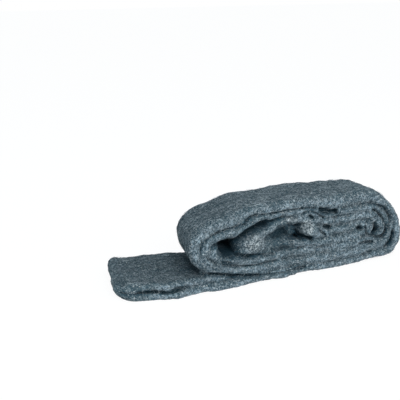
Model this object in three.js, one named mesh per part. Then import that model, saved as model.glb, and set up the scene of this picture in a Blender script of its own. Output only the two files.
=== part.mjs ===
// A band of steel wool rolled up flat, with its outer end drawn out to the left as a tail.
// The band is one piece: it is lofted along a path that starts under the roll, folds back at
// the end of the tail and winds inwards turn by turn. X runs along the tail, Y across the
// band from its front edge to its back edge, and Z up. All sizes are in millimetres.
import * as THREE from 'three';

// The band
const bandWidth = 62;
const clearance = 0.6;
const edgeWander = 1.1;

// The roll, measured on its front face with X = 0 at the left end of its hollow
const tailEnd = -78.5;
const heelEnd = 10;
const coreEnd = 65.5;
const rightEnds = { outer: 146, second: 140, third: 135, inner: 128.5 };
const rightReach = { outer: 18.3, second: 16.2, third: 12.2, inner: 3.8 };
const topEnds = { outer: 131.5, second: 128.5, third: 125 };
const leftReach = { outer: 21.2, inner: 14.4 };
const moundReach = 5;

// The tail spreads wider towards its end, and the end's front corner is rounded off
const lipForward = 3.6;
const lipBackward = 13;
const cornerFrom = 22;
const cornerWidth = 26;
const cornerDepth = 29;
const cornerIn = 9;

// The roll leans: its back is pushed to the right of its front, and sits a little lower
const leanLeft = 0.36;
const leanRight = 0.28;
const backDrop = 0.075;

// The whole band is kneaded a little by hand
const kneadHeight = 0.9;
const kneadPitch = 30;

// The loft
const straightStep = 7;
const bendStep = 2.6;
const acrossFace = [0, 0.08, 0.2, 0.34, 0.5, 0.66, 0.82, 0.94, 1];
const edgePoints = 4;
const bluntEnd = 0.4;

const mix = (a, b, k) => a + (b - a) * k;

function ramp(x, from, to) {
  const k = Math.min(1, Math.max(0, (x - from) / (to - from)));
  return k * k * (3 - 2 * k);
}

function bell(x, { at, half, add }) {
  const q = (x - at) / half;
  return Math.abs(q) < 1 ? add * (1 - q * q) ** 2 : 0;
}

const sum = (x, bells = []) => bells.reduce((total, b) => total + bell(x, b), 0);

// The layers of the roll from the bench upwards. Each has a thickness, places where its wool
// swells, air above it beyond the clearance, and a stretch of X where it is there at all.
const fadesOut = (from, to) => (x) => 1 - ramp(x, from, to);
const fadesIn = (from, to) => (x) => ramp(x, from, to);
const layers = {
  tail: { thick: 5.4 },
  tuck: { thick: 5, there: fadesOut(-4, 20) },
  bottom: { thick: 7.4, swells: [{ at: 8, half: 18, add: 1.2 }] },
  floor: {
    thick: 5.4,
    swells: [{ at: 8, half: 16, add: 1.6 }],
    air: [{ at: 23, half: 12, add: 1 }],
  },
  bed: {
    thick: 4.6,
    there: fadesIn(-2, 20),
    swells: [{ at: 42, half: 28, add: 5 }],
    air: [{ at: 122, half: 6, add: 2 }, { at: 92, half: 6, add: 0.8 }],
  },
  core: {
    thick: 5,
    there: fadesIn(48, 64),
    swells: [{ at: 74, half: 17, add: 8.6 }],
    air: [{ at: 88, half: 5, add: 0.6 }],
  },
  arch: {
    thick: 4.6,
    there: fadesIn(-2, 20),
    swells: [{ at: 36, half: 34, add: 3 }],
    air: [{ at: 30, half: 19, add: 1.7 }, { at: 97, half: 8, add: 1.6 }],
  },
  ceiling: {
    thick: 4.2,
    swells: [{ at: 20, half: 22, add: 4 }],
    air: [{ at: 21, half: 6, add: 1.2 }, { at: 93, half: 8, add: 0.9 }],
  },
  crown: {
    thick: 7.2,
    swells: [{ at: 10, half: 17, add: 3.8 }, { at: 42, half: 18, add: 1.2 }, { at: 112, half: 46, add: 3.6 }],
  },
};
const hanging = ['arch', 'ceiling', 'crown'];

// The roll's upper face falls away towards both ends, as shares of its greatest height
const roofFrom = 40;
const roofTo = 60;
const leftFall = 0.12;
const rightFall = 0.03;
const roofShape = (x) =>
  1 - leftFall * Math.max(0, (roofFrom - x) / roofFrom) ** 2 - rightFall * Math.max(0, (x - roofTo) / 68) ** 2;

const toeLift = (x) => 3.4 * ramp(x, 112, 152);
const there = (name, x) => (layers[name].there ? layers[name].there(x) : 1);
const packed = (name, x) => there(name, x) * (layers[name].thick + sum(x, layers[name].swells));
const airOver = (name, x) => sum(x, layers[name].air);
const names = Object.keys(layers);
const stackHeight = (x) =>
  names.reduce((z, name) => z + packed(name, x) + there(name, x) * clearance + airOver(name, x), toeLift(x));

// The roll is as high as its tightest place asks. Elsewhere the wool in its heart loosens and
// fills most of what is spare, and at the left end, where there is none, a hollow is left.
const stations = Array.from({ length: topEnds.outer + 1 }, (_, x) => x);
const crownHeight = Math.max(...stations.map((x) => stackHeight(x) / roofShape(x)));
const spare = (x) => crownHeight * roofShape(x) - stackHeight(x);
const heartShare = {
  bed: (x) => 0.5 * there('bed', x) * (1 - there('core', x)),
  core: (x) => 0.5 * there('core', x),
  arch: (x) => 0.4 * there('arch', x),
};
const thickness = (name, x) =>
  packed(name, x) + (heartShare[name] ? heartShare[name](x) * Math.max(0, spare(x)) : 0);

function middle(name, x) {
  const space = (other) => thickness(other, x) + there(other, x) * clearance + airOver(other, x);
  const order = names.indexOf(name);
  if (hanging.includes(name)) {
    const above = names.slice(order + 1).reduce((z, other) => z + space(other), 0);
    return crownHeight * roofShape(x) - above - clearance - airOver(name, x) - thickness(name, x) / 2;
  }
  return names.slice(0, order).reduce((z, other) => z + space(other), toeLift(x)) + thickness(name, x) / 2;
}

// The path: a run follows one layer, and a bend carries the band from one layer to another
function run(name, from, to) {
  const count = Math.ceil(Math.abs(to - from));
  return Array.from({ length: count }, (_, i) => {
    const x = mix(from, to, i / count);
    return { x, z: middle(name, x), thick: thickness(name, x), name };
  });
}

function bend(nameA, xA, nameB, xB, reach, thick) {
  const a = { z: middle(nameA, xA), thick: thickness(nameA, xA) };
  const b = { z: middle(nameB, xB), thick: thickness(nameB, xB) };
  const count = Math.ceil(1.6 * (Math.abs(reach) + Math.abs(b.z - a.z) / 2));
  return Array.from({ length: count }, (_, i) => {
    const angle = (Math.PI * i) / count;
    const k = (1 - Math.cos(angle)) / 2;
    const bulge = Math.sin(angle);
    return {
      x: mix(xA, xB, k) + reach * bulge,
      z: mix(a.z, b.z, k),
      thick: mix(mix(a.thick, b.thick, k), thick, bulge),
      name: k < 0.5 ? nameA : nameB,
    };
  });
}

const foldStart = tailEnd + (layers.tail.thick + clearance) / 2;
const foldReach = -(layers.tail.thick + clearance) / 2;
const path = [
  ...run('tuck', heelEnd, foldStart),
  ...bend('tuck', foldStart, 'tail', foldStart, foldReach, layers.tail.thick),
  ...run('tail', foldStart, rightEnds.outer),
  ...bend('tail', rightEnds.outer, 'crown', topEnds.outer, rightReach.outer, 4.6),
  ...run('crown', topEnds.outer, -2),
  ...bend('crown', -2, 'bottom', 3, -leftReach.outer, 8.4),
  ...run('bottom', 3, rightEnds.second),
  ...bend('bottom', rightEnds.second, 'ceiling', topEnds.second, rightReach.second, 4.4),
  ...run('ceiling', topEnds.second, 2),
  ...bend('ceiling', 2, 'floor', 4, -leftReach.inner, 6.6),
  ...run('floor', 4, rightEnds.third),
  ...bend('floor', rightEnds.third, 'arch', topEnds.third, rightReach.third, 7.8),
  ...run('arch', topEnds.third, 20),
  ...bend('arch', 20, 'bed', 20, -moundReach, 5),
  ...run('bed', 20, rightEnds.inner),
  ...bend('bed', rightEnds.inner, 'core', rightEnds.inner, rightReach.inner, 5),
  ...run('core', rightEnds.inner, coreEnd),
];

// Where the band's edges lie: it widens and slides forward along the tail, wanders a little
// everywhere, and draws back inside the hollow, where it shows dark behind the mound
const isFlat = (name) => ['tail', 'tuck'].includes(name);
const lipShare = { tail: 1, tuck: 0.35 };
const setBack = {
  bed: [{ at: 51, half: 17, add: 6 }, { at: 22, half: 12, add: -1 }],
  arch: [{ at: 53, half: 16, add: 4 }, { at: 22, half: 12, add: -1 }],
  core: [{ at: 74, half: 14, add: -1.5 }],
};

function edges(point, along) {
  const wander = edgeWander * (Math.sin(along / 19) + 0.6 * Math.sin(along / 7.7 + 1));
  const lip = (lipShare[point.name] ?? 0) * (1 - ramp(point.x, -20, 60));
  const corner = isFlat(point.name) ? 1 - ramp(point.x, tailEnd, tailEnd + 24) : 0;
  const widened = isFlat(point.name) ? 1 - ramp(point.x, tailEnd - 9, -5) : 0;
  return {
    front: wander - lipForward * lip + cornerIn * corner + sum(point.x, setBack[point.name]),
    back: bandWidth + wander + lipBackward * widened,
  };
}

// Three crossing waves, between -1 and 1, that make soft lumps one pitch apart
function lumps(a, b) {
  const [u, v] = [(2 * Math.PI * a) / kneadPitch, (2 * Math.PI * b) / kneadPitch];
  return (Math.sin(u + 0.4 * v) + Math.sin(0.5 * u - 0.9 * v + 2) + Math.sin(0.8 * v - 0.3 * u + 4.5)) / 3;
}

// Leans the band to the right towards its back, lowers it there, rounds the tail's front
// corner and kneads the wool. Every layer is moved alike, so none meets another.
function settle(x, y, z, name) {
  const lean = mix(leanLeft, leanRight, (x + 20) / 175);
  const cut = Math.max(0, cornerFrom - y) / cornerWidth;
  const corner = isFlat(name) ? cornerDepth * (1 - ramp(x, tailEnd, tailEnd + 65)) * cut ** 1.6 : 0;
  const [leant, lowered] = [x + lean * y + corner, z * (1 - backDrop * ramp(y, 0, bandWidth))];
  const above = ramp(z, 0, 24);
  return [
    leant + kneadHeight * lumps(y, z) * above,
    y + kneadHeight * lumps(leant, z) * above,
    lowered + kneadHeight * lumps(leant, y) * above,
  ];
}

// The section: a flat strip with round edges. Positions run from the upper face's front edge
// to its back edge, round it, and back along the lower face.
function section(front, back, thick) {
  const radius = thick / 2;
  const points = [];
  const span = back - front - 2 * radius;
  for (const side of [1, -1]) {
    for (const k of acrossFace) {
      points.push([side > 0 ? front + radius + span * k : back - radius - span * k, side * radius]);
    }
    for (let i = 1; i <= edgePoints; i++) {
      const angle = Math.PI * (0.5 - i / (edgePoints + 1)) * side;
      const y = side > 0 ? back - radius + radius * Math.cos(angle) : front + radius - radius * Math.cos(angle);
      points.push([y, radius * Math.sin(angle)]);
    }
  }
  return points;
}

// Rings are set close together where the band bends or swells, and wide apart elsewhere
function chosen(points) {
  const keep = [0];
  let walked = 0;
  let turned = 0;
  let swollen = 0;
  for (let i = 2; i < points.length - 1; i++) {
    const [a, b, c] = [points[i - 2], points[i - 1], points[i]];
    walked += Math.hypot(c.x - b.x, c.z - b.z);
    const swing = Math.atan2(c.z - b.z, c.x - b.x) - Math.atan2(b.z - a.z, b.x - a.x);
    turned += Math.abs(Math.atan2(Math.sin(swing), Math.cos(swing)));
    swollen += Math.abs(c.thick - b.thick);
    if (walked >= straightStep || (walked >= bendStep && (turned > 0.26 || swollen > 1.4))) {
      keep.push(i);
      walked = 0;
      turned = 0;
      swollen = 0;
    }
  }
  return [...keep, points.length - 1];
}

function loft(points) {
  const along = [0];
  for (let i = 1; i < points.length; i++) {
    along.push(along[i - 1] + Math.hypot(points[i].x - points[i - 1].x, points[i].z - points[i - 1].z));
  }
  const total = along[along.length - 1];
  const rings = [];
  for (const i of chosen(points)) {
    const point = points[i];
    const before = points[Math.max(0, i - 1)];
    const after = points[Math.min(points.length - 1, i + 1)];
    const length = Math.hypot(after.x - before.x, after.z - before.z);
    const normal = { x: -(after.z - before.z) / length, z: (after.x - before.x) / length };
    const { front, back } = edges(point, along[i]);
    // Both ends of the band are rounded off over half their thickness
    const radius = point.thick / 2;
    const fromEnd = Math.min(along[i], total - along[i]) / radius;
    const full = fromEnd < 1 ? mix(bluntEnd, 1, Math.sqrt(1 - (1 - fromEnd) ** 2)) : 1;
    const inset = (1 - full) * radius;
    const ring = section(front + inset, back - inset, point.thick * full).map(([y, h]) =>
      settle(point.x + normal.x * h, y, point.z + normal.z * h, point.name),
    );
    rings.push(ring);
  }
  const sides = rings[0].length;
  const positions = rings.flat();
  const faces = [];
  for (let r = 0; r + 1 < rings.length; r++) {
    for (let i = 0; i < sides; i++) {
      const [a, b] = [r * sides + i, r * sides + ((i + 1) % sides)];
      faces.push([a, b + sides, b], [a, a + sides, b + sides]);
    }
  }
  for (const [start, turn] of [[0, 1], [(rings.length - 1) * sides, -1]]) {
    const centre = new THREE.Vector3();
    for (let i = 0; i < sides; i++) centre.add(new THREE.Vector3(...positions[start + i]));
    positions.push(centre.divideScalar(sides).toArray());
    for (let i = 0; i < sides; i++) {
      const [a, b] = [start + i, start + ((i + 1) % sides)];
      faces.push(turn > 0 ? [a, b, positions.length - 1] : [b, a, positions.length - 1]);
    }
  }
  const geometry = new THREE.BufferGeometry();
  geometry.setAttribute('position', new THREE.Float32BufferAttribute(positions.flat(), 3));
  geometry.setIndex(faces.flat());
  return geometry;
}

// The origin is set below the middle of the whole roll, on the bench
const geometry = loft(path);
geometry.computeBoundingBox();
const middleOf = geometry.boundingBox.getCenter(new THREE.Vector3());
geometry.translate(-middleOf.x, -middleOf.y, -geometry.boundingBox.min.z);

const wool = new THREE.MeshStandardMaterial({ color: 0x5f6b72, metalness: 0.35, roughness: 0.85 });
const band = new THREE.Mesh(geometry, wool);
band.name = 'steel_wool_band';

const part = new THREE.Group();
part.add(band);
export default part;
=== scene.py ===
# %% [markdown]
# # A flat roll of steel wool
# Steel wool is sold as a long felted band of very fine steel fibre, rolled up flat. This lesson
# dresses a plain model of such a roll. The band is melted into one soft skin with loose wool in
# its hollow, its open face gets the slits and curls where the turns meet, and thousands of thin
# fibres are laid over it. Lengths are in metres, X runs along the band, Y from the open front
# face to the back, and Z up. The plain model's box is kept first.

# %% Load the roll and keep its box
import math

import bpy
import numpy as np
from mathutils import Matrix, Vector
from mathutils.bvhtree import BVHTree


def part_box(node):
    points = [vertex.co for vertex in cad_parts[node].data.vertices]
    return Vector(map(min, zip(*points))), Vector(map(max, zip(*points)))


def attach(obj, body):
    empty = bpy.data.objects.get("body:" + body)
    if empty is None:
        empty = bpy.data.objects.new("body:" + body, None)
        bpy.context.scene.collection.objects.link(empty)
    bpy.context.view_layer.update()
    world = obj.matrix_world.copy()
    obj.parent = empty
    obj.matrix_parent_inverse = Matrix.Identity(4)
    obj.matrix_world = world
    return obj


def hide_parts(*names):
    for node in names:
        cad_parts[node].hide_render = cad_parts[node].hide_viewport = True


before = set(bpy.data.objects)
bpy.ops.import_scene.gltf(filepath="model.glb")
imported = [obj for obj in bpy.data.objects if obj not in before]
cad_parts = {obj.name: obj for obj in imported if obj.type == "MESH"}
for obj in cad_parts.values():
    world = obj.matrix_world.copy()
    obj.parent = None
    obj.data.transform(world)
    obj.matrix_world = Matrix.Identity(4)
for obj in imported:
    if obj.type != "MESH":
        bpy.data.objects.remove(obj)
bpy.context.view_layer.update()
MM = 0.001
band_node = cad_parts["steel_wool_band"]
low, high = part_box("steel_wool_band")
print("the roll measures", [round((b - a) / MM, 1) for a, b in zip(low, high)], "mm")

# %% [markdown]
# ## Places on the roll
# The layers of a roll are easiest to talk about on its open front face. A point there is given
# in millimetres, from the left end of the roll's hollow and from the bench, and is turned into
# the frame's metres. The roll also leans: its back lies further right than its front, so every
# pattern that follows the turns first takes the lean away. The lean changes along the roll, so
# it is worked out in a few rounds, each starting from the last one's answer.

# %% Turn face millimetres into frame metres
HOLLOW_FROM_TAIL = 72.6 * MM
FACE_FROM_FRONT = 3.9 * MM
LEAN_LEFT = 0.36
LEAN_RIGHT = 0.28
LEAN_ROUNDS = 3
ROLL_LEFT = -20 * MM
ROLL_LENGTH = 175 * MM
hollow_x = low.x + HOLLOW_FROM_TAIL
face_y = low.y + FACE_FROM_FRONT


def lean_at(along):
    """How far the roll leans to the right, for each metre across it."""
    share = (along - ROLL_LEFT) / ROLL_LENGTH
    return LEAN_LEFT + (LEAN_RIGHT - LEAN_LEFT) * share


def face_coordinates(points):
    """Along, across and up, in metres from the hollow's left end, with the lean taken away."""
    along = points[:, 0] - hollow_x
    across = points[:, 1] - face_y
    for _ in range(LEAN_ROUNDS):
        along = points[:, 0] - hollow_x - lean_at(along) * across
    return np.stack([along, across, points[:, 2]], 1)


def from_face(places):
    """The way back: frame metres from metres along, across and up on the face."""
    x = hollow_x + places[:, 0] + lean_at(places[:, 0]) * places[:, 1]
    return np.stack([x, face_y + places[:, 1], places[:, 2]], 1)


print("the hollow starts at x =", round(hollow_x, 4), "and the face lies at y =", round(face_y, 4))

# %% [markdown]
# ## The camera
# The photograph was taken with a long lens from the front left, a little above the roll. The
# camera's place, direction and lens were worked out once, and are given here as sizes.

# %% Set up the camera
CAMERA_PLACE = (-0.3664, -0.5727, 0.2199)
CAMERA_LOOK = (0.4705, 0.8489, -0.2423)
LENS_MM = 84.69
SENSOR_MM = 36.0

bpy.ops.object.select_all(action="DESELECT")
bpy.ops.object.camera_add(location=CAMERA_PLACE)
camera = bpy.context.object
camera.name = "front_left_camera"
camera.rotation_euler = Vector(CAMERA_LOOK).to_track_quat("-Z", "Y").to_euler()
camera.data.lens = LENS_MM
camera.data.sensor_width = SENSOR_MM
bpy.context.scene.camera = camera
print("camera at", CAMERA_PLACE)

# %% [markdown]
# ## Small helpers for modelling
# An operator acts on whatever is selected, so one helper leaves just one object selected. Another
# adds a modifier, sets it and applies it at once, which keeps each modelling step to one line.
# The rest read and write whole meshes as arrays, because a loop over the vertices would be slow.

# %% Helpers that select and apply


def only(piece):
    """Leaves this piece selected and active, and nothing else."""
    bpy.ops.object.select_all(action="DESELECT")
    piece.select_set(True)
    bpy.context.view_layer.objects.active = piece


def finish_with(piece, kind, **settings):
    """Adds a modifier with these settings and applies it."""
    only(piece)
    modifier = piece.modifiers.new(kind.lower(), kind)
    for key, value in settings.items():
        setattr(modifier, key, value)
    bpy.ops.object.modifier_apply(modifier=modifier.name)


# %% Helpers for vertices as arrays


def of_vertices(piece, field):
    """One vector for each vertex: its place from co, or its normal from normal."""
    vectors = np.empty(len(piece.data.vertices) * 3)
    piece.data.vertices.foreach_get(field, vectors)
    return vectors.reshape(-1, 3)


def move_vertices(piece, places):
    piece.data.vertices.foreach_set("co", places.ravel())
    piece.data.update()


def keep_on_vertices(piece, name, values):
    """Stores a number or a vector for each vertex, under this name."""
    kind, field = ("FLOAT", "value") if values.ndim == 1 else ("FLOAT_VECTOR", "vector")
    attribute = piece.data.attributes.new(name, kind, "POINT")
    attribute.data.foreach_set(field, values.astype(np.float32).ravel())


def ramp(x, start, end):
    """A smooth step from 0 at start to 1 at end."""
    k = np.clip((x - start) / (end - start), 0, 1)
    return k * k * (3 - 2 * k)


# %% [markdown]
# ## The band
# The plain model is a strip with round edges, wound up with a little air between its turns. Real
# turns of wool cling to each other. So a copy of the strip has its triangles paired into quads,
# is smoothed with a subdivision surface, and is fattened until its turns just touch. The voxel
# remesh further on then melts what touches, which no amount of smoothing could do.

# %% Fatten a copy of the strip
MERGE = 0.01 * MM
FLAT_WITHIN = math.radians(50)
SKEW_WITHIN = math.radians(60)
SMOOTH_LEVELS = 2
FATTEN = 0.3 * MM

band = bpy.data.objects.new("wool_band", band_node.data.copy())
bpy.context.scene.collection.objects.link(band)
only(band)
bpy.ops.object.mode_set(mode="EDIT")
bpy.ops.mesh.select_all(action="SELECT")
bpy.ops.mesh.remove_doubles(threshold=MERGE)
bpy.ops.mesh.tris_convert_to_quads(face_threshold=FLAT_WITHIN, shape_threshold=SKEW_WITHIN)
bpy.ops.object.mode_set(mode="OBJECT")
finish_with(band, "SUBSURF", levels=SMOOTH_LEVELS, render_levels=SMOOTH_LEVELS)
finish_with(band, "DISPLACE", strength=FATTEN, mid_level=0)
print("the strip has", len(band.data.polygons), "faces")

# %% [markdown]
# ## Loose wool in the hollow
# The roll's hollow isn't empty. A soft mound of wool swells into it from behind, and more is
# caught between the turns at the left end. Each wad is an oval ball that lies behind the face.
# The wads are joined to the band before the voxel remesh, which takes them all as one body.

# %% Stuff the hollow and melt it all into one skin
VOXEL = 0.92 * MM
WAD_SEGMENTS = 32
WAD_RINGS = 20
# A wad, in millimetres: its middle on the face, its depth, and its halves along, up and across
WADS = [
    ((22.5, 26.5), 13, (7.5, 5.5, 12.5)),
    ((30, 29), 15, (10.5, 9.5, 15)),
    ((50, 30.5), 26, (18, 8.5, 20.5)),
    ((62, 32), 24, (8, 6.5, 18)),
    ((-14.5, 25), 10, (3, 10, 9.4)),
    ((-5.5, 27), 11, (7.5, 6.5, 11)),
    ((-9, 14), 10, (8, 3, 9.4)),
]
wads = []
for (along, up), depth, (half_along, half_up, half_across) in WADS:
    bpy.ops.mesh.primitive_uv_sphere_add(segments=WAD_SEGMENTS, ring_count=WAD_RINGS, radius=1)
    wad = bpy.context.object
    places = of_vertices(wad, "co") * (np.array([half_along, half_across, half_up]) * MM)
    places += np.array([along, depth, up]) * MM
    move_vertices(wad, from_face(places))
    wads.append(wad)
only(band)
for wad in wads:
    wad.select_set(True)
bpy.ops.object.join()
finish_with(band, "REMESH", mode="VOXEL", voxel_size=VOXEL)
print("remeshed to", len(band.data.polygons), "faces")

# %% [markdown]
# ## One skin, softer on its face
# A remesh also wraps the closed bubbles inside the roll, which nobody sees, so only the largest
# shell is kept. A little smoothing takes the voxels' steps away. The open face gets more of it,
# since there the turns of real wool have grown together, with fine cracks instead of gaps.

# %% Keep the skin and smooth it
SKIN_ROUNDS = 3
FACE_ROUNDS = 9
FACE_SOFT_TO = 7 * MM

only(band)
bpy.ops.mesh.separate(type="LOOSE")
shells = sorted(bpy.context.selected_objects, key=lambda shell: -len(shell.data.vertices))
band = shells[0]
band.name = "wool_band"
for bubble in shells[1:]:
    bpy.data.objects.remove(bubble)
finish_with(band, "SMOOTH", factor=0.5, iterations=SKIN_ROUNDS)
place = face_coordinates(of_vertices(band, "co"))
on_face = np.flatnonzero((place[:, 1] < FACE_SOFT_TO) & (place[:, 0] > ROLL_LEFT))
group = band.vertex_groups.new(name="open_face")
group.add(on_face.tolist(), 1, "REPLACE")
finish_with(band, "SMOOTH", factor=0.5, iterations=FACE_ROUNDS, vertex_group="open_face")
print("kept 1 shell of", len(shells), "with", len(band.data.polygons), "faces")

# %% [markdown]
# ## The lie of the wool
# Fibres in such a band run mostly along it, so every pattern needs to know which way the band
# travels. A flattened roll is a set of nested ovals round a straight core line. The nearest
# point of that line gives three coordinates: the way along the oval, the place across the band
# and the depth. On the tail, outside the roll, the way along is plain X and the depth is height.

# %% Work out along, across and depth
CORE_START = 10 * MM
CORE_END = 130 * MM
CORE_HEIGHT = 28 * MM
BEND_RADIUS = 22 * MM
TAIL_TOP = 12.5 * MM
TAIL_MIDDLE = 5 * MM
ROLL_OVERHANG = 0.9
HAIR = 1e-9


def lie_of(points):
    """Coordinates that follow the wool, and the unit direction in which its fibres run."""
    x, y, z = face_coordinates(points).T
    dx = x - np.clip(x, CORE_START, CORE_END)
    dz = z - CORE_HEIGHT
    # A hair's width keeps a point on the core line from dividing by nothing
    depth = np.hypot(dx, dz) + HAIR
    half_turn = math.pi * BEND_RADIUS
    around = np.where(dz < 0, x, 2 * CORE_END + half_turn - x)
    around = np.where(x > CORE_END, CORE_END + BEND_RADIUS * np.arctan2(dx, -dz), around)
    far_side = 2 * CORE_END - CORE_START + half_turn
    around = np.where(x < CORE_START, far_side + BEND_RADIUS * np.arctan2(-dx, dz), around)
    run = np.stack([-dz / depth, np.zeros_like(dz), dx / depth], 1)
    on_tail = (z < TAIL_TOP) & (x < CORE_START - ROLL_OVERHANG * (z - TAIL_MIDDLE))
    around = np.where(on_tail, x, around)
    depth = np.where(on_tail, z, depth)
    run[on_tail] = (1, 0, 0)
    return np.stack([around, y, depth], 1), run


# %% [markdown]
# ## Marks on the open face
# The open face of a real roll isn't a set of neat edges: turns gape in some places, are pressed
# shut in others, and the innermost wool curls up. These marks are worked into the face as a
# sculptor would, with soft-edged strokes, rings and thumb marks. Modelling each of them as its
# own fold would take far more faces and look harder than wool does.

# %% List the slits and cracks
# A stroke is a row of points on the face, in millimetres, with its half width and its depth
STROKES = [
    ([(-6, 31.5), (2, 31.6), (8, 32)], 1.2, 4),
    ([(8, 32.3), (14, 33.4), (21, 36.2)], 2.2, 8.5),
    ([(21, 36.2), (26, 38.6), (32, 41), (38, 42.4)], 2.6, 9),
    ([(38, 42.8), (46, 43.6), (53, 45)], 1.2, 4.5),
    ([(-7.6, 12.3), (0.5, 10.2), (11, 7.8), (22, 6), (34, 4.6)], 1.0, 4),
    ([(34, 4.6), (45, 4.4), (60, 4.3), (73, 4.5)], 0.7, 2.2),
    ([(3, 17.2), (15, 14.1), (25, 13.3), (34, 13.1), (47, 13.3)], 0.6, 2),
    ([(-12, 37.6), (-7, 39.4), (0, 41.3), (8, 42.4), (16, 43.2), (21, 43.6)], 0.7, 2.4),
    ([(21, 43.6), (23.3, 47.3), (25.3, 48.7), (30, 49.5)], 1.0, 3.5),
    ([(34, 49.3), (45, 49.2), (55, 50.2), (63, 50.3), (72, 49.4), (80, 48.2)], 0.6, 2),
    ([(15, 22), (20, 20.6), (29, 19.4), (38, 18.8), (45, 18.6)], 0.9, 3.2),
    ([(66, 31.5), (69.5, 29), (75, 27.2), (77.5, 26.4)], 1.8, 8),
    ([(84.5, 46.6), (90, 44.8), (94, 44), (99.5, 43.6)], 1.6, 6.5),
    ([(89, 33.4), (92, 32), (94.5, 31.4)], 1.2, 4),
    ([(84, 31.5), (87, 29.4), (90, 27.2)], 0.7, 2.5),
    ([(69.7, 46.3), (75, 46.9), (80.3, 45.3), (84.3, 42.7), (87.7, 40.4)], 0.7, 2.6),
    ([(75.5, 43), (76.7, 42.4), (78, 41.6)], 1.2, 3.5),
    ([(49, 37.4), (52, 36.4), (55, 36.6)], 1.1, 3),
    ([(58, 38.6), (61, 37), (63, 34.6)], 1.1, 3),
    ([(2, 18.7), (8.7, 17.3)], 0.7, 1.6),
    ([(66, 20), (72, 21.2), (80, 21)], 0.7, 1.4),
    ([(121, 28.6), (121.8, 27.4), (122.6, 26.8)], 1.5, 6),
    ([(134, 40.6), (136.5, 39.6), (139.5, 37), (141.5, 34.4)], 1.1, 4.5),
    ([(136, 19.3), (139.5, 18.7), (143.5, 18.1)], 0.9, 3.5),
    ([(120.5, 16.6), (127, 16.2), (134.5, 15.3)], 0.8, 2.4),
    ([(146, 40), (149.5, 35), (151.5, 29), (150.5, 23)], 0.7, 2.4),
]
# A darn is a stroke that is filled up instead, where two turns have grown together
LEFT_SEAM = [(-10, 40), (-12.6, 38.2), (-14.3, 34), (-14.7, 29.7), (-13.2, 25.2), (-9.2, 21), (-3.5, 17.6)]
DARNS = [(LEFT_SEAM, 1.0, 1.5)]
print("listed", len(STROKES), "strokes and", len(DARNS), "darn")

# %% List the curls, knobs and hollows
# A curl is a ring on the face: its centre, radius, half width, depth and the degrees it covers
CURLS = [
    ((138, 28.6), 10.2, 0.7, 2.4, 120, 330),
    ((138, 28.8), 6.6, 0.6, 2.0, -80, 160),
    ((139, 28.4), 3.4, 0.6, 1.8, 60, 330),
]
# A swell is a soft knob on the face: its centre, its halves along and up, and how far it stands out
SWELLS = [
    ((28, 29), (14, 11), 2.4),
    ((75, 34), (10, 10), 2.2),
    ((137, 29), (14, 13), 1.0),
]
# A recess is a sunken place of the same form, with its depth, also painted dark as painted shade
RECESSES = [
    ((53, 31), (18, 8), 6),
    ((8, 26.5), (12.5, 9.5), 9),
    ((71, 28.3), (4.5, 2.8), 7),
]
# Painted light: ovals of the same form on the knobs of loose wool, painted paler
LOOSE = [
    ((28, 29), (14, 11)),
    ((72, 36), (9, 9)),
    ((60, 42), (8, 4)),
]
print("listed", len(CURLS), "curls,", len(SWELLS), "swells and", len(RECESSES), "recesses")

# %% [markdown]
# ### From a mark to a depth
# How deep a vertex is pressed depends on its distance from the mark's line: a mark has a flat
# middle and soft edges. A ring that wobbles a little looks curled by hand, where a true circle
# would look turned on a lathe.

# %% Work out how deep a mark goes
FLAT_SHARE = 0.3
EDGE_SHARE = 1.7
CURL_FADE = 30
SLOW_WOBBLE = 0.08
QUICK_WOBBLE = 0.05


def soft_mark(distance, half_width):
    """1 in a mark's flat middle, falling smoothly to 0 beyond its edge."""
    return 1 - ramp(distance, FLAT_SHARE * half_width * MM, EDGE_SHARE * half_width * MM)


def stroke_depth(place, points, half_width, depth):
    """How far a stroke presses the face in, at each place."""
    best = np.full(len(place), np.inf)
    for (x0, z0), (x1, z1) in zip(points, points[1:]):
        start = np.array([x0, z0]) * MM
        step = np.array([x1 - x0, z1 - z0]) * MM
        offset = place[:, [0, 2]] - start
        k = np.clip(offset @ step / (step @ step), 0, 1)
        best = np.minimum(best, np.linalg.norm(offset - k[:, None] * step, axis=1))
    return depth * MM * soft_mark(best, half_width)


def curl_depth(place, centre, radius, half_width, depth, from_deg, to_deg):
    """How far a ring presses the face in, at each place."""
    dx = place[:, 0] - centre[0] * MM
    dz = place[:, 2] - centre[1] * MM
    angle = np.arctan2(dz, dx)
    wobble = 1 + SLOW_WOBBLE * np.sin(3 * angle + radius) + QUICK_WOBBLE * np.sin(7 * angle)
    off = np.abs(np.hypot(dx, dz) - radius * MM * wobble)
    turn = (np.degrees(angle) - from_deg) % 360
    span = to_deg - from_deg
    fade = ramp(turn, 0, CURL_FADE) * (1 - ramp(turn, span - CURL_FADE, span))
    return depth * MM * fade * soft_mark(off, half_width)


def knob(place, centre, halves):
    """1 in the middle of an oval on the face, falling smoothly to 0 at its rim."""
    off_x = (place[:, 0] - centre[0] * MM) / (halves[0] * MM)
    off_z = (place[:, 2] - centre[1] * MM) / (halves[1] * MM)
    return 1 - ramp(np.hypot(off_x, off_z), 0, 1)


# %% [markdown]
# ### Press the marks in
# Where strokes cross, the deepest one wins. All of them fade out a little behind the face, and
# the sunken places a little further back. Deep places also get painted shade, darker than the
# renderer's shadows alone would make them. How much is kept on the vertices for the material.

# %% Press the marks into the face
DEEPEST = 9 * MM
# Each fade: how far behind the face it keeps its full strength, and where it ends
PRESS_FADE = (3 * MM, 9 * MM)
SUNKEN_FADE = (9 * MM, 26 * MM)
KNOB_LIGHT_FADE = (8 * MM, 26 * MM)
DARK_FADE = (30 * MM, 50 * MM)

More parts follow.
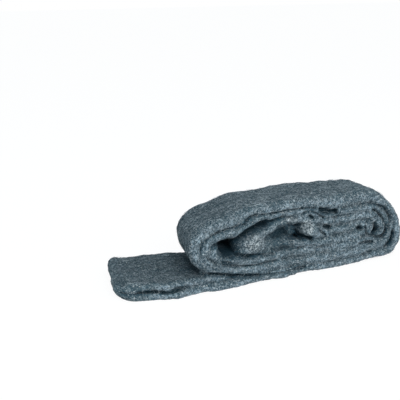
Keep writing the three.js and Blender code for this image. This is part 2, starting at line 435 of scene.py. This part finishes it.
places = of_vertices(band, "co")
place = face_coordinates(places)
behind = place[:, 1]
press = np.zeros(len(places))
for stroke in STROKES:
    press = np.maximum(press, stroke_depth(place, *stroke))
for curl in CURLS:
    press = np.maximum(press, curl_depth(place, *curl))
for darn in DARNS:
    press -= stroke_depth(place, *darn)
for centre, halves, height in SWELLS:
    press -= height * MM * knob(place, centre, halves)
press *= 1 - ramp(behind, *PRESS_FADE)
sunken = np.zeros(len(places))
for centre, halves, depth in RECESSES:
    sunken = np.maximum(sunken, depth * MM * knob(place, centre, halves))
# Painted shade for the material, from how deep the marks and recesses go
painted_recess_shade = np.maximum(sunken * (1 - ramp(behind, *DARK_FADE)), press) / DEEPEST
sunken *= 1 - ramp(behind, *SUNKEN_FADE)
places[:, 1] += press + sunken
move_vertices(band, places)
# Painted light: the knobs of loose wool in the hollow are painted paler
painted_knob_light = np.zeros(len(places))
for centre, halves in LOOSE:
    painted_knob_light = np.maximum(painted_knob_light, knob(place, centre, halves))
keep_on_vertices(band, "painted_knob_light", painted_knob_light * (1 - ramp(behind, *KNOB_LIGHT_FADE)))
keep_on_vertices(band, "painted_recess_shade", painted_recess_shade)
print("pressed the face in by up to", round(float((press + sunken).max()) / MM, 1), "mm")

# %% [markdown]
# ## The tail's two plies
# The tail is doubled, and along its front a slit shows between the plies. It wanders a little
# and closes towards the roll. The model's plies have grown together in the remesh, so the slit
# is opened again: vertices near its line are pushed in against their normals.

# %% Open the slit between the tail's two plies
SLIT_HEIGHT = 5.8 * MM
SLIT_FROM = -79 * MM
SLIT_TO = -17 * MM
SLIT_OPENS_OVER = 6 * MM
SLIT_CLOSES_OVER = 34 * MM
SLIT_DEPTH = 3.2 * MM
SLIT_FLAT = 0.2 * MM
SLIT_EDGE = 1.3 * MM
FRONT_HALF = 24 * MM
# Each wave that the slit wanders in: its height, and its length for one radian
SLIT_WAVES = [(0.35 * MM, 5.3 * MM), (0.25 * MM, 2.9 * MM)]

places = of_vertices(band, "co")
along, across, up = face_coordinates(places).T
wander = sum(height * np.sin(along / length) for height, length in SLIT_WAVES)
near = 1 - ramp(np.abs(up - SLIT_HEIGHT - wander), SLIT_FLAT, SLIT_EDGE)
opens = ramp(along, SLIT_FROM, SLIT_FROM + SLIT_OPENS_OVER)
closes = ramp(along, SLIT_TO - SLIT_CLOSES_OVER, SLIT_TO)
near *= opens * (1 - closes)
near *= across < FRONT_HALF
places -= of_vertices(band, "normal") * (SLIT_DEPTH * near)[:, None]
move_vertices(band, places)
print("the slit is", round((SLIT_TO - SLIT_FROM) / MM), "mm long")

# %% [markdown]
# ## The corner of the tail's end
# The band was cut off square at its end, and the far corner there is still crisp on the real
# roll. Smoothing has rounded it. It is pulled out again with a soft falloff, as a sculptor's
# grab brush does, since a sharper remesh would need many more faces everywhere.

# %% Tug out the far corner of the tail's end
CORNER = np.array([-80, 69, 10]) * MM
CORNER_REACH = 15 * MM
CORNER_TUG = np.array([-0.8, 1.2, 1.5]) * MM

places = of_vertices(band, "co")
away = np.linalg.norm(face_coordinates(places) - CORNER, axis=1)
places += (1 - ramp(away, 0, CORNER_REACH))[:, None] * CORNER_TUG
move_vertices(band, places)
print("tugged", int((away < CORNER_REACH).sum()), "vertices at the corner")

# %% [markdown]
# ## Lumps, tufts and knots
# Hand-rolled wool is uneven at every size. Three cloud textures push the whole skin in and out:
# a broad one for the lumps that hands leave, a finer one for tufts and the finest for knots of
# fibre. What would sink into the bench is set back on it, since the roll lies flat.

# %% Push the skin in and out
# Each cloud: its name, the size of its lumps and how far they move the skin, in millimetres
CLOUDS = [("broad", 21, 2.4), ("tufts", 5.5, 1.3), ("knots", 1.9, 0.6)]
CLOUD_DEPTH = 2

for name, size, strength in CLOUDS:
    cloud = bpy.data.textures.new(name, "CLOUDS")
    cloud.noise_scale = size * MM
    cloud.noise_depth = CLOUD_DEPTH
    shift = {"strength": strength * MM, "mid_level": 0.5}
    finish_with(band, "DISPLACE", texture=cloud, texture_coords="LOCAL", **shift)
places = of_vertices(band, "co")
places[:, 2] = np.maximum(places[:, 2], 0)
move_vertices(band, places)
finish_with(band, "TRIANGULATE")
only(band)
bpy.ops.object.shade_smooth()
print("the skin is", round(places[:, 2].max() / MM, 2), "mm high")

# %% [markdown]
# ## Where light is lost: grooves
# Grooves are painted darker than open wool, as painted shade for the light that is lost between
# fibres. How deep a point lies in a groove is found by smoothing the skin many times in numbers
# only: the skin moves outwards where it was hollow. That distance is kept for the material, which
# paints the shade from it, and no ray has to be traced.

# %% Find the grooves
SMOOTHINGS = 14
OWN_SHARE = 0.3
NEXT_SHARE = 0.7
FULL_GROOVE = 0.7 * MM

edge_ends = np.empty(len(band.data.edges) * 2, np.int64)
band.data.edges.foreach_get("vertices", edge_ends)
edge_ends = edge_ends.reshape(-1, 2)
edge_ends = np.concatenate([edge_ends, edge_ends[:, ::-1]])


def smoothed(values, rounds):
    """The values of the skin's vertices after this many rounds of averaging with neighbours."""
    values = values.reshape(len(values), -1).copy()
    own, beyond = edge_ends.T
    neighbours = np.bincount(own, minlength=len(values))
    for _ in range(rounds):
        sums = [np.bincount(own, column[beyond], len(values)) for column in values.T]
        values = OWN_SHARE * values + NEXT_SHARE * np.stack(sums, 1) / neighbours[:, None]
    return values


corners = of_vertices(band, "co")
normals = of_vertices(band, "normal")
groove = np.sum((smoothed(corners, SMOOTHINGS) - corners) * normals, 1) / FULL_GROOVE
keep_on_vertices(band, "groove", groove)
print("grooves cover", round(100 * float((groove > 0.5).mean())), "% of the skin")

# %% [markdown]
# ## Where light is lost: crowded places
# Wool that has other wool close in front of it, such as the tail under the roll, gets painted
# shadow too. A few rays are cast from each vertex, and those that soon meet wool are counted. So
# few rays give a rough count, and a little smoothing evens it out.

# %% Find the crowded places
SEED = 7
RAYS = 9
RAY_START_MM = 0.6
RAY_SPREAD = 0.98
CROWDING_REACH = 22 * MM
CROWDING_SMOOTHINGS = 5

rng = np.random.default_rng(SEED)
triangles = np.empty(len(band.data.polygons) * 3, np.int64)
band.data.polygons.foreach_get("vertices", triangles)
triangles = triangles.reshape(-1, 3)
tree = BVHTree.FromPolygons(corners.tolist(), triangles.tolist())
met = np.zeros(len(corners))
for _ in range(RAYS):
    spread = rng.normal(size=(len(corners), 3))
    spread /= np.linalg.norm(spread, axis=1)[:, None]
    starts = corners + normals * RAY_START_MM * MM
    rays = normals + RAY_SPREAD * spread
    for i, (start, ray) in enumerate(zip(starts.tolist(), rays.tolist())):
        met[i] += tree.ray_cast(start, ray, CROWDING_REACH)[0] is not None
crowding = smoothed(met / RAYS, CROWDING_SMOOTHINGS)[:, 0]
keep_on_vertices(band, "crowding", crowding)
print("crowding runs up to", round(float(crowding.max()), 2))

# %% [markdown]
# ## Fibres
# What makes steel wool look like wool is its fibres: curved, thin, crossing at shallow angles,
# with a few standing off the surface. They could be a hair system, but then they would be no
# mesh of their own. So each one is walked over the skin in short steps and made into a tube.
# First come the places where they start: anywhere on the skin that is open to the air.

# %% Find where fibres may lie
FIBRE_PIECES = 4
FIBRES_EACH = 6100
TRIES_FOR_ONE = 2.2
FACING_DOWN = -0.5
NEAR_BENCH = 1.5 * MM
LOOK_START_MM = 0.3
LOOK_REACH = 4 * MM

edge_a = corners[triangles[:, 1]] - corners[triangles[:, 0]]
edge_b = corners[triangles[:, 2]] - corners[triangles[:, 0]]
areas = np.linalg.norm(np.cross(edge_a, edge_b), axis=1) / 2


def scattered(count):
    """Random points on the skin, with their outward normals and a vertex close by."""
    chosen = rng.choice(len(triangles), count, p=areas / areas.sum())
    u, v = rng.random(count), rng.random(count)
    over = u + v > 1
    u[over], v[over] = 1 - u[over], 1 - v[over]
    beside = triangles[chosen, 0]
    points = corners[beside] + u[:, None] * edge_a[chosen] + v[:, None] * edge_b[chosen]
    outward = np.cross(edge_a[chosen], edge_b[chosen])
    return points, outward / np.linalg.norm(outward, axis=1)[:, None], beside


def open_to_air(point, normal):
    """True where nothing lies close in front of the skin, and it isn't the face on the bench."""
    if normal[2] < FACING_DOWN and point[2] < NEAR_BENCH:
        return False
    start = Vector(point + normal * LOOK_START_MM * MM)
    return tree.ray_cast(start, Vector(normal), LOOK_REACH)[0] is None


wanted = FIBRE_PIECES * FIBRES_EACH
starts, normals, beside = scattered(int(wanted * TRIES_FOR_ONE))
seen = np.array([open_to_air(p, n) for p, n in zip(starts, normals)])
starts = starts[seen][:wanted]
normals = normals[seen][:wanted]
beside = beside[seen][:wanted]
print("placed", len(starts), "fibre starts;", round(100 * seen.mean()), "% of the skin is open")

# %% [markdown]
# A fibre that lies in a deep or crowded place gets painted shade, as the skin there does. Its
# share of light is read from the vertex beside its start, and is kept for the fibres' own material.

# %% Work out how well each fibre is lit
LOST_SHARE = 0.97
LOST_RANGE = (0.15, 0.6)
CROWDED_SHARE = 0.7
CROWDED_RANGE = (0.1, 0.9)

lost = ramp(painted_recess_shade[beside], *LOST_RANGE)
crowd_shadow = ramp(crowding[beside], *CROWDED_RANGE)
lit = (1 - LOST_SHARE * lost) * (1 - CROWDED_SHARE * crowd_shadow)
print("fibres get", round(100 * float(lit.mean())), "% of the light on average")

# %% [markdown]
# ### The walk
# A fibre sets out roughly along the band, and a few set out any way. At each step it turns a
# little and is drawn back to the skin, so it follows every lump. A few rise and stand off as
# fuzz. All walks are done at once with arrays.

# %% Give each fibre its habits
STEPS = 6
STEP = 2.1 * MM
SWING = math.radians(48)
WILD_SHARE = 0.12
CURVE = math.radians(13)
LIFT_MM = (0.02, 0.22)
STRAY_SHARE = 0.05
STRAY_RISE_MM = (0.05, 0.26)
CALM_RISE_MM = 0.01

points = starts.copy()
count = len(points)
_, heading = lie_of(points)
swing = rng.normal(0, SWING, count)
wild = rng.random(count) < WILD_SHARE
swing = np.where(wild, rng.uniform(-math.pi / 2, math.pi / 2, count), swing)
curve = rng.normal(0, CURVE, count)
lift = rng.uniform(*LIFT_MM, count) * MM
stray = rng.random(count) < STRAY_SHARE
rise = np.where(stray, rng.uniform(*STRAY_RISE_MM, count), rng.normal(0, CALM_RISE_MM, count)) * MM
print("of", count, "fibres,", int(wild.sum()), "set out any way and", int(stray.sum()), "stand off")

# %% Walk the fibres over the skin
RIPPLE = 0.05 * MM
RIPPLE_STEP = 1.7
RIPPLE_SPREAD = 40
LOWEST = 0.1 * MM
TOO_SHORT = 0.2
SPECK = 1e-12


def turned(vectors, axes, angles):
    """Each vector laid square to its axis and turned about it by its angle."""
    flat = vectors - axes * np.sum(vectors * axes, 1)[:, None]
    size = np.linalg.norm(flat, axis=1)
    spare = np.cross(axes, [0, 1, 0])
    flat = np.where(size[:, None] < TOO_SHORT, spare, flat)
    flat /= np.linalg.norm(flat, axis=1)[:, None] + SPECK
    side = np.cross(axes, flat)
    return flat * np.cos(angles)[:, None] + side * np.sin(angles)[:, None]


walk = []
direction = turned(heading, normals, swing)
for step in range(STEPS):
    offset = lift + rise * step + RIPPLE * np.sin(step * RIPPLE_STEP + swing * RIPPLE_SPREAD)
    walk.append(points + normals * offset[:, None])
    points = points + direction * STEP
    nearest = [tree.find_nearest(Vector(p)) for p in points]
    points = np.array([tuple(found[0]) for found in nearest])
    found_normals = np.array([tuple(found[1]) for found in nearest])
    normals = 0.5 * normals + 0.5 * found_normals
    normals /= np.linalg.norm(normals, axis=1)[:, None]
    direction = turned(direction, normals, curve)
walk = np.stack(walk, 1)
walk[:, :, 2] = np.maximum(walk[:, :, 2], LOWEST)
print("walked", len(walk), "fibres of", round(STEP * (STEPS - 1) / MM, 1), "mm")

# %% [markdown]
# ### The tubes
# Shaved steel has a three-cornered section, so a tube with three sides is both true and cheap.
# It thins towards its ends, where flat caps close it. Every tube has the same faces, so these
# are worked out once and repeated with the numbers of each tube's own vertices.

# %% Work out the tubes' vertices and faces
SIDES = 3
THICK = 0.075 * MM
THICK_SHARES = (0.7, 1.35)
TAPER_FROM = 0.12
TAPER_TO = 0.88
# No fibre runs this way, so it serves to find a direction square to any of them
SIDEWAYS = [0.31, 0.47, 0.82]


def tube_vertices(paths):
    """Three rings of points along each path, ordered by fibre, then step, then side."""
    along = np.gradient(paths, axis=1)
    along /= np.linalg.norm(along, axis=2)[:, :, None] + SPECK
    side = np.cross(along, SIDEWAYS)
    side /= np.linalg.norm(side, axis=2)[:, :, None] + SPECK
    other = np.cross(along, side)
    taper = np.sin(np.linspace(TAPER_FROM, TAPER_TO, STEPS) * math.pi) ** 0.5
    radius = THICK * rng.uniform(*THICK_SHARES, len(paths))[:, None] * taper[None]
    rings = []
    for k in range(SIDES):
        angle = 2 * math.pi * k / SIDES
        rings.append(paths + radius[:, :, None] * (side * math.cos(angle) + other * math.sin(angle)))
    return np.stack(rings, 2).reshape(-1, 3)


def tube_faces(count):
    """The vertex numbers of all faces of this many tubes, and how many each face has."""
    quads = []
    for s in range(STEPS - 1):
        for k in range(SIDES):
            a, b = s * SIDES + k, s * SIDES + (k + 1) % SIDES
            quads.append((a, b, b + SIDES, a + SIDES))
    end = (STEPS - 1) * SIDES
    caps = [(2, 1, 0), (end, end + 1, end + 2)]
    one_tube = np.concatenate([np.array(quads).ravel(), np.array(caps).ravel()])
    first = np.arange(count) * STEPS * SIDES
    sizes = [4] * len(quads) + [3] * len(caps)
    return (first[:, None] + one_tube[None]).ravel(), np.tile(sizes, count)


# %% Make the fibre pieces
def tubes(paths, name, shades, lights):
    """One mesh of closed tubes along these paths, with a shade and a light for each fibre."""
    vertices = tube_vertices(paths)
    loops, sizes = tube_faces(len(paths))
    mesh = bpy.data.meshes.new(name)
    mesh.vertices.add(len(vertices))
    mesh.vertices.foreach_set("co", vertices.ravel())
    mesh.loops.add(len(loops))
    mesh.loops.foreach_set("vertex_index", loops)
    mesh.polygons.add(len(sizes))
    mesh.polygons.foreach_set("loop_start", np.concatenate([[0], np.cumsum(sizes)[:-1]]))
    mesh.polygons.foreach_set("loop_total", sizes)
    mesh.update(calc_edges=True)
    piece = bpy.data.objects.new(name, mesh)
    bpy.context.scene.collection.objects.link(piece)
    keep_on_vertices(piece, "shade", np.repeat(shades, STEPS * SIDES))
    keep_on_vertices(piece, "light", np.repeat(lights, STEPS * SIDES))
    return piece


fibre_pieces = []
for i in range(FIBRE_PIECES):
    part = slice(i * FIBRES_EACH, (i + 1) * FIBRES_EACH)
    shades = rng.random(len(walk[part]))
    fibre_pieces.append(tubes(walk[part], f"fibres_{i + 1}", shades, lit[part]))
print("made", len(fibre_pieces), "pieces of", len(fibre_pieces[0].data.polygons), "faces")

# %% [markdown]
# ## A language for materials
# Shader maths reads best as maths. A small class wraps a socket, so that + - * on it add Math
# nodes, and a second one makes any other node in one line. Without them, each node would take
# three or four lines, and the idea of a material would be lost among them.

# %% Wrap a socket for sums


class Wire:
    """An output socket that can be used in sums."""

    def __init__(self, sheet, socket):
        self.sheet = sheet
        self.socket = socket

    def _maths(self, operation, *values):
        return self.sheet.add("ShaderNodeMath", {"operation": operation}, dict(enumerate(values)))

    def __add__(self, other):
        return self._maths("ADD", self, other)

    def __radd__(self, other):
        return self._maths("ADD", other, self)

    def __rsub__(self, other):
        return self._maths("SUBTRACT", other, self)

    def __mul__(self, other):
        return self._maths("MULTIPLY", self, other)

    def __rmul__(self, other):
        return self._maths("MULTIPLY", other, self)

    def __pow__(self, other):
        return self._maths("POWER", self, other)


# %% Make nodes in one line
# The Mix node has sockets of the same name for each kind of data, so its colours go by number
MIX_FACTOR, MIX_FIRST, MIX_SECOND, MIX_COLOUR = 0, 6, 7, 2


class Sheet:
    """The node tree of one material, emptied, with its output in place."""

    def __init__(self, name):
        self.material = bpy.data.materials.new(name)
        self.material.use_nodes = True
        self.tree = self.material.node_tree
        self.tree.nodes.clear()
        self.output = self.tree.nodes.new("ShaderNodeOutputMaterial")

    def add(self, kind, settings=None, inputs=None, output=0):
        """Any node: its settings first, then values or links for its inputs."""
        node = self.tree.nodes.new(kind)
        for key, value in (settings or {}).items():
            setattr(node, key, value)
        for key, value in (inputs or {}).items():
            if isinstance(value, Wire):
                self.tree.links.new(value.socket, node.inputs[key])
            else:
                node.inputs[key].default_value = value
        return Wire(self, node.outputs[output])

    def kept(self, name, output="Fac"):
        """What was kept on the vertices under this name."""
        return self.add("ShaderNodeAttribute", {"attribute_name": name}, output=output)

    def part_of(self, vector, axis):
        return self.add("ShaderNodeSeparateXYZ", {}, {0: vector}, output=axis)

    def noise(self, place, size, detail=2.0, roughness=0.5):
        """Noise between about 0.25 and 0.75, its grains this many metres wide."""
        inputs = {"Vector": place, "Scale": 1 / size, "Detail": detail, "Roughness": roughness}
        return self.add("ShaderNodeTexNoise", {"noise_dimensions": "3D"}, inputs)

    def spots(self, place, size, detail, start, end, roughness=0.5):
        """Noise with its values from start to end drawn out to run from 0 to 1."""
        return self.between(self.noise(place, size, detail, roughness), start, end)

    def stretch(self, place, scale):
        """A place with each coordinate multiplied, to squeeze or draw out a pattern."""
        return self.add("ShaderNodeVectorMath", {"operation": "MULTIPLY"}, {0: place, 1: scale})

    def turn(self, place, angles):
        return self.add("ShaderNodeMapping", {}, {"Vector": place, "Rotation": angles})

    def between(self, value, start, end):
        """The value's share of the way from start to end, smooth and kept between 0 and 1."""
        inputs = {"Value": value, "From Min": start, "From Max": end}
        return self.add("ShaderNodeMapRange", {"interpolation_type": "SMOOTHSTEP"}, inputs)

    def blend(self, factor, first, second):
        """A mix of two colours."""
        inputs = {MIX_FACTOR: factor, MIX_FIRST: first, MIX_SECOND: second}
        return self.add("ShaderNodeMix", {"data_type": "RGBA"}, inputs, output=MIX_COLOUR)

    def show(self, shader):
        """Puts this shader on the output."""
        self.tree.links.new(shader.socket, self.output.inputs["Surface"])
        return self.material

    def close(self, **inputs):
        """Ends the sheet with a Principled shader that has these inputs."""
        names = {key.replace("_", " "): value for key, value in inputs.items()}
        return self.show(self.add("ShaderNodeBsdfPrincipled", {}, names))


# %% [markdown]
# ## The grain that skin and fibres share
# Tufts of wool are light where they stand up and dark between. Skin and fibres read the same
# noise, so that a dark spot is dark in both. If only the skin had it, the fibres would lie over
# it like an even veil. The noise is drawn out a little across the band.

# %% Mix the grain
GRAIN_STRETCH = (1, 0.6, 1)
# Each noise: the size of its grains, its detail, and the values that become 0 and 1
PATCHES = (2.8 * MM, 1, 0.38, 0.6)
TUFTS = (1.25 * MM, 1.5, 0.4, 0.6)
# The glints are painted glints: small bright specks in the colour
GLINTS = (1.05 * MM, 1, 0.61, 0.72)
TUFTS_IN_DARK_PATCH = 0.5
TUFTS_GAIN = 0.65
# How strong the fine detail is in the crisper noises, where the others have a half
CRISP = 0.6


def grain(sheet):
    """The tufts' light and dark, from about 0 to 1, and their painted glints."""
    place = sheet.stretch(sheet.add("ShaderNodeTexCoord", output="Object"), GRAIN_STRETCH)
    patches = sheet.spots(place, *PATCHES)
    tufts = sheet.spots(place, *TUFTS, roughness=CRISP)
    tufts = tufts * (TUFTS_IN_DARK_PATCH + TUFTS_GAIN * patches)
    return tufts, sheet.spots(place, *GLINTS)


# %% Keep the lie of the wool on the band
lie, _ = lie_of(of_vertices(band, "co"))
keep_on_vertices(band, "lie", lie)
print("the lie runs from", round(float(lie[:, 0].min()), 3), "to", round(float(lie[:, 0].max()), 3), "m")

# %% [markdown]
# ## The wool between the fibres
# Seen close, the body of the wool is darker than the fibres on top of it, because light is lost
# between them. It is a dull grey steel with a blue cast. Streaks run along the band and at an
# angle to it, by noise that is drawn out along the lie. Wool that was pressed flat behind the
# face is darker, and where the skin faces up it is darkened as well, as painted shade on the top.
# The knobs of loose wool are painted paler, as painted light, and painted glints brighten small
# specks. Painted shadow in crowded places and painted shade in grooves and deep places come last,
# since they darken everything. The streaks and tufts also drive the bump.

# %% Work out the streaks and tufts
STREAK_SIZE = 0.45 * MM
STREAK_STRETCH = (0.3, 1, 1)
STREAK_SHARE = 0.6
CROSSING_SIZE = 0.5 * MM
CROSSING_STRETCH = (0.35, 1, 1)
CROSSING_ANGLE = math.radians(40)
FIBRE_RANGE = (0.4, 0.6)
FIBRE_SHARE = 0.35


def wool_tone(sheet, lie, tufts):
    """Light and dark from fibres that run along the band and across each other, and from tufts."""
    drawn_out = sheet.stretch(lie, STREAK_STRETCH)
    crossed = sheet.stretch(sheet.turn(lie, (0, 0, CROSSING_ANGLE)), CROSSING_STRETCH)
    streaks = sheet.noise(drawn_out, STREAK_SIZE, roughness=CRISP)
    crossing = sheet.noise(crossed, CROSSING_SIZE, roughness=CRISP)
    fibre = sheet.between(streaks * STREAK_SHARE + crossing * (1 - STREAK_SHARE), *FIBRE_RANGE)
    return fibre * FIBRE_SHARE + tufts * (1 - FIBRE_SHARE)


# %% Work out where the wool is felted, and where the top gets painted shade
MOTTLE_SIZE = 9 * MM
MOTTLE_RANGE = (0.2, 0.5)
INWARDS_RANGE = (0.2 * MM, 3.5 * MM)
LEAST_FELTED = 0.45
UPWARDS_RANGE = (0.2, 0.7)
TOP_SHADE_SHARE = 0.9


def felted_with_top_shade(sheet, lie):
    """1 where the wool was pressed flat behind the face's edge, and where the skin faces up, which is
    painted shade on the top.
    """
    mottle = sheet.between(sheet.noise(lie, MOTTLE_SIZE), *MOTTLE_RANGE)
    inwards = sheet.between(sheet.part_of(lie, "Y"), *INWARDS_RANGE)
    felted = inwards * (LEAST_FELTED + (1 - LEAST_FELTED) * mottle)
    normal = sheet.add("ShaderNodeNewGeometry", output="Normal")
    # Painted shade on the top: where the skin faces up it is darkened like felted wool
    pressed = sheet.between(sheet.part_of(normal, "Z"), *UPWARDS_RANGE) * TOP_SHADE_SHARE
    return felted + pressed * (1 - felted)


# %% Mix the body of the wool
DARK_STEEL = (0.006, 0.042, 0.064, 1)
MID_STEEL = (0.33, 0.435, 0.51, 1)
# Felted wool, and painted shade on the top
FELTED_AND_TOP_SHADE_STEEL = (0.16, 0.232, 0.268, 1)
# Painted light: the pale colour of the knobs of loose wool
PALE_PAINTED_LIGHT = (0.8, 0.88, 0.91, 1)
# Painted glints: the colour of the bright specks
GLINT_STEEL = (0.54, 0.58, 0.59, 1)
# Painted shadow: the colour of places where other wool lies close in front
PAINTED_CROWD_SHADOW = (0.006, 0.065, 0.11, 1)
# Painted shade: the dark colour of grooves and deep, sunken places
PAINTED_HOLLOW_SHADE = (0.001, 0.022, 0.036, 1)
KNOB_LIGHT_RANGE = (0.1, 0.7)
CROWDED_SHADE = 0.85
GROOVE_RANGE = (0.15, 1)
SUNKEN_RANGE = (0.22, 0.72)
BUMP_STRENGTH = 0.8
BUMP_HEIGHT = 0.5 * MM


def wool_body():
    sheet = Sheet("wool_body")
    lie = sheet.kept("lie", "Vector")
    tufts, glints = grain(sheet)
    tone = wool_tone(sheet, lie, tufts)
    # Felted wool behind the face's edge, with painted shade where the skin faces up
    light_steel = sheet.blend(felted_with_top_shade(sheet, lie), MID_STEEL, FELTED_AND_TOP_SHADE_STEEL)
    # Painted light: the knobs of loose wool in the hollow are painted paler
    lit_knob_mask = sheet.between(sheet.kept("painted_knob_light"), *KNOB_LIGHT_RANGE)
    light_steel = sheet.blend(lit_knob_mask, light_steel, PALE_PAINTED_LIGHT)
    open_wool = sheet.blend(tone, DARK_STEEL, light_steel)
    # Painted glints: bright specks in the wool's colour
    bright_wool = sheet.blend(glints, open_wool, GLINT_STEEL)
    # Painted shadow where other wool lies close in front, as on the tail under the roll
    crowd_shadow = sheet.between(sheet.kept("crowding"), *CROWDED_RANGE) * CROWDED_SHADE
    shaded_wool = sheet.blend(crowd_shadow, bright_wool, PAINTED_CROWD_SHADOW)
    # Painted shade in grooves and in deep, sunken places comes last
    painted_groove_shade = sheet.between(sheet.kept("groove"), *GROOVE_RANGE)
    sunken = sheet.between(sheet.kept("painted_recess_shade"), *SUNKEN_RANGE)
    colour = sheet.blend(painted_groove_shade + sunken, shaded_wool, PAINTED_HOLLOW_SHADE)
    relief = {"Strength": BUMP_STRENGTH, "Distance": BUMP_HEIGHT, "Height": tone}
    bump = sheet.add("ShaderNodeBump", {}, relief)
    return sheet.close(Base_Color=colour, Metallic=0.25, Roughness=0.72, Normal=bump)


band.data.materials.clear()
band.data.materials.append(wool_body())
print("the wool's body has", len(band.active_material.node_tree.nodes), "nodes")

# %% [markdown]
# ## The fibres' steel
# A single fibre is bright where it catches the light, and here that is painted: each one keeps its
# own shade, from nearly black to pale, as a painted highlight, which gives the specks that are seen
# on real steel wool. The shade is bent towards dark by a power, because few fibres face the light.
# Painted glints are added, and in deep and crowded places all are dimmed by painted shade.

# %% Mix the steel of the fibres
FIBRE_DARK = (0.008, 0.042, 0.064, 1)
FIBRE_LIGHT = (0.62, 0.71, 0.76, 1)
# Painted shade: the colour of fibres in deep or crowded places
PAINTED_FIBRE_SHADE = (0.003, 0.032, 0.055, 1)
SHADE_POWER = 1.4
LEFT_IN_DARK_TUFT = 0.25
GLINT_SHARE = 0.3


def fibre_steel():
    sheet = Sheet("fibre_steel")
    tufts, glints = grain(sheet)
    tuft_light = LEFT_IN_DARK_TUFT + (1 - LEFT_IN_DARK_TUFT) * tufts
    # Painted highlights: each fibre's own shade, and the painted glints
    brightness = sheet.kept("shade") ** SHADE_POWER * tuft_light + GLINT_SHARE * glints
    in_the_open = sheet.blend(brightness, FIBRE_DARK, FIBRE_LIGHT)
    # Painted shade: fibres in deep or crowded places are dimmed
    colour = sheet.blend(sheet.kept("light"), PAINTED_FIBRE_SHADE, in_the_open)
    return sheet.close(Base_Color=colour, Metallic=0.25, Roughness=0.65)


steel = fibre_steel()
for piece in fibre_pieces:
    piece.data.materials.append(steel)
print("the fibres' steel has", len(steel.node_tree.nodes), "nodes")

# %% [markdown]
# ## Tell the frame which body each piece rides on
# Every piece rides on the roll's one body. The skin stands for the plain strip, which is hidden.

# %% Ride and replace
for piece in [band, *fibre_pieces]:
    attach(piece, "root")
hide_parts("steel_wool_band")
print("told the frame of", 1 + len(fibre_pieces), "pieces")

# %% [markdown]
# ## The floor
# The roll is shown on white. The floor takes the roll's soft shadow, and looks white to the
# camera because most of it is a plain white glow that only camera, mirror and glass rays can
# see. A floor of glow alone would have no shadow, and one of white paper alone would look grey.

# %% Lay the floor
FLOOR_SIZE = 8
FLOOR_BELOW = 0.02 * MM
PAPER = (0.86, 0.87, 0.88, 1)
GLOW_SHARE = 0.88
GLOW_STRENGTH = 1.05
WHITE = (1, 1, 1, 1)


def seen_directly(sheet):
    """1 for rays from the camera and from mirrors or glass, 0 for all others."""
    node = sheet.add("ShaderNodeLightPath").socket.node
    rays = [Wire(sheet, node.outputs[f"Is {kind} Ray"]) for kind in ("Camera", "Glossy", "Transmission")]
    return sheet.add("ShaderNodeClamp", {}, {"Value": rays[0] + rays[1] + rays[2]})


def white_floor():
    sheet = Sheet("white_floor")
    paper = sheet.add("ShaderNodeBsdfDiffuse", {}, {"Color": PAPER})
    glow = sheet.add("ShaderNodeEmission", {}, {"Color": WHITE, "Strength": GLOW_STRENGTH})
    share = seen_directly(sheet) * GLOW_SHARE
    return sheet.show(sheet.add("ShaderNodeMixShader", {}, {0: share, 1: paper, 2: glow}))


bpy.ops.mesh.primitive_plane_add(size=FLOOR_SIZE, location=(0, 0, -FLOOR_BELOW))
floor = bpy.context.object
floor.name = "floor"
floor.data.materials.append(white_floor())
print("laid a floor of", FLOOR_SIZE, "m")

# %% [markdown]
# ## The light
# The photograph's light is soft and comes from all round, so a pale blue world does most of the
# work, and the camera sees it as plain white. A large warm lamp in front, left of the middle,
# gives the form, and a second one on the right keeps that end from going dull.

# %% Light the roll
WORLD_COLOUR = (0.82, 0.94, 1, 1)
WORLD_STRENGTH = 0.64
LAMP_COLOUR = (1, 0.97, 0.94)
LAMP_TARGET = Vector((0, 0, 0.02))
# Each lamp: its name, its place, the side of its square and its power in watts
LAMPS = [
    ("key_lamp", (-0.35, -1.05, 0.6), 0.8, 7.9),
    ("fill_lamp", (0.75, -1.0, 0.4), 0.8, 6.5),
]


def pale_world():
    """A world that lights the roll with a pale colour and looks white to the camera."""
    world = bpy.data.worlds.new("pale_world")
    world.use_nodes = True
    tree = world.node_tree
    tree.nodes.clear()
    output = tree.nodes.new("ShaderNodeOutputWorld")
    fill = tree.nodes.new("ShaderNodeBackground")
    fill.inputs["Color"].default_value = WORLD_COLOUR
    fill.inputs["Strength"].default_value = WORLD_STRENGTH
    white = tree.nodes.new("ShaderNodeBackground")
    white.inputs["Color"].default_value = WHITE
    path = tree.nodes.new("ShaderNodeLightPath")
    mixer = tree.nodes.new("ShaderNodeMixShader")
    tree.links.new(path.outputs["Is Camera Ray"], mixer.inputs[0])
    tree.links.new(fill.outputs[0], mixer.inputs[1])
    tree.links.new(white.outputs[0], mixer.inputs[2])
    tree.links.new(mixer.outputs[0], output.inputs["Surface"])
    return world


def soft_lamp(name, place, size, watts):
    """A square area lamp that faces the roll."""
    bpy.ops.object.light_add(type="AREA", location=place)
    lamp = bpy.context.object
    lamp.name = name
    lamp.rotation_euler = (LAMP_TARGET - Vector(place)).to_track_quat("-Z", "Y").to_euler()
    lamp.data.size = size
    lamp.data.energy = watts
    lamp.data.color = LAMP_COLOUR


bpy.context.scene.world = pale_world()
for lamp in LAMPS:
    soft_lamp(*lamp)
bpy.context.scene.view_settings.view_transform = "Standard"
print("lit by the world and", len(LAMPS), "lamps")
